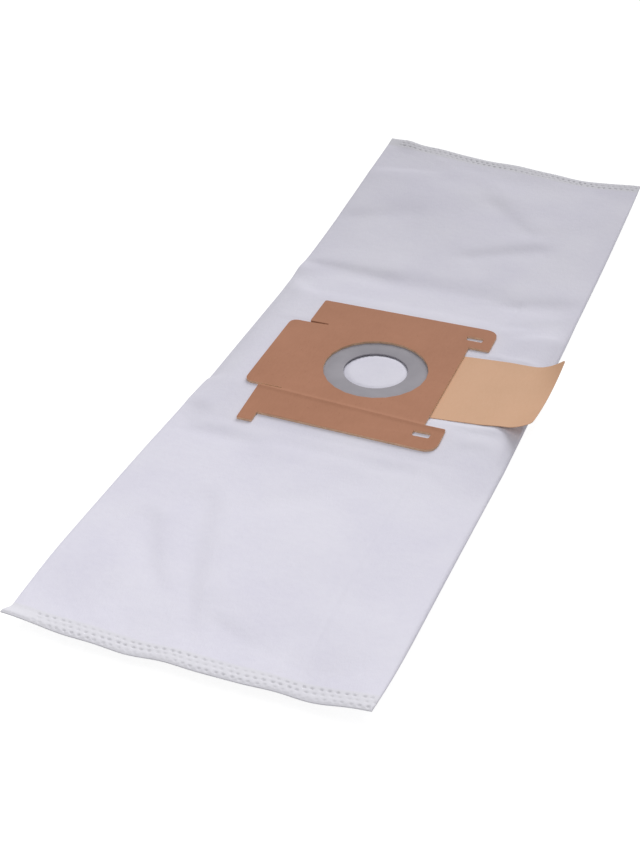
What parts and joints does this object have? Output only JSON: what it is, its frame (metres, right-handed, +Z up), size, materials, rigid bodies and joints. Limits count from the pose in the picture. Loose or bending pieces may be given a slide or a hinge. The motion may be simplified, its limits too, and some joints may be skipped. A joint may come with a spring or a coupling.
{
  "type": "vacuum dust bag",
  "caption": "Flat rectangular fleece dust bag with a die-cut card collar over its round rubber-sealed inlet and a paper closing strip.",
  "frame": {"origin": "on the table under the middle of the bag's bounding box", "axes": "+Y along the bag, from the end below the inlet to the end above it; +X across the bag, towards the closing strip; +Z up, out of the inlet"},
  "size_m": [0.1992, 0.5656, 0.0207],
  "materials": {
    "fleece": "soft matt nonwoven fleece, lavender white",
    "seal_rubber": "matt grey rubber",
    "collar_card": "matt brown solid board with lighter cut edges",
    "strip_paper": "matt light tan paper"
  },
  "bodies": {
    "root": {"bag": "fleece", "inlet_seal": "seal_rubber", "collar_card": "collar_card", "closing_strip": "strip_paper"}
  },
  "joints": []
}
